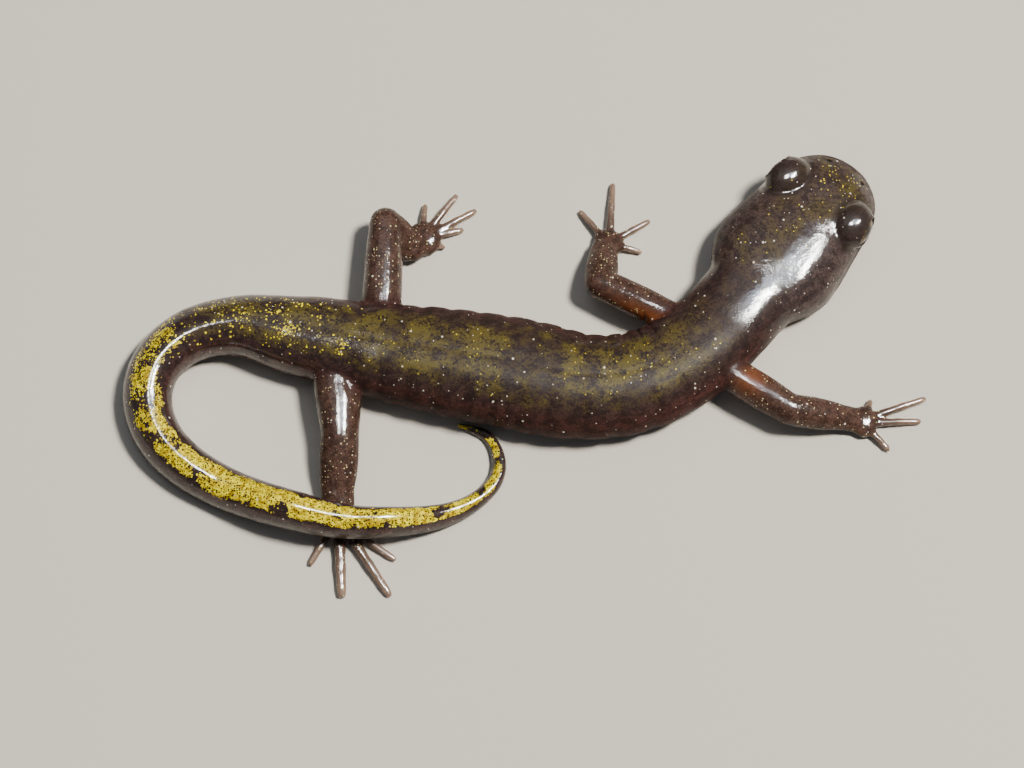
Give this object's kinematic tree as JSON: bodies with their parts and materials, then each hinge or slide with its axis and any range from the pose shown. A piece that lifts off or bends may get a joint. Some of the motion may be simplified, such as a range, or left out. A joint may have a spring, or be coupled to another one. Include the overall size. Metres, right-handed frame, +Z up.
{
  "type": "southern long-toed salamander model",
  "caption": "Still, life-size model of a young southern long-toed salamander lying curled, tail over its hind foot.",
  "frame": {"origin": "on the floor under the middle of the trunk", "axes": "+Z up, +X towards the head along the trunk, +Y towards the animal's left side"},
  "size_m": [0.0562, 0.032, 0.0055],
  "materials": {
    "dark_skin": "wet, glossy dark brown skin with olive mottling and gold flecks",
    "tail_skin": "wet, glossy brown skin with a golden yellow stripe",
    "limb_skin": "wet, glossy brown skin with pale flecks",
    "eye": "wet black eye"
  },
  "bodies": {
    "root": {"head": "dark_skin", "neck": "dark_skin", "chest": "dark_skin", "belly": "dark_skin", "pelvis": "dark_skin", "tail_root": "tail_skin", "tail_upper_bend": "tail_skin", "tail_bend": "tail_skin", "tail_lower_bend": "tail_skin", "tail_side": "tail_skin", "tail_crossing": "tail_skin", "tail_run": "tail_skin", "tail_hook": "tail_skin", "tail_tip": "tail_skin", "upper_arm_right": "limb_skin", "forearm_right": "limb_skin", "forefoot_right": "limb_skin", "upper_arm_left": "limb_skin", "forearm_left": "limb_skin", "forefoot_left": "limb_skin", "thigh_right": "limb_skin", "shin_right": "limb_skin", "hindfoot_right": "limb_skin", "thigh_left": "limb_skin", "shin_left": "limb_skin", "hindfoot_left": "limb_skin", "eye_left": "eye", "eye_right": "eye"}
  },
  "joints": []
}
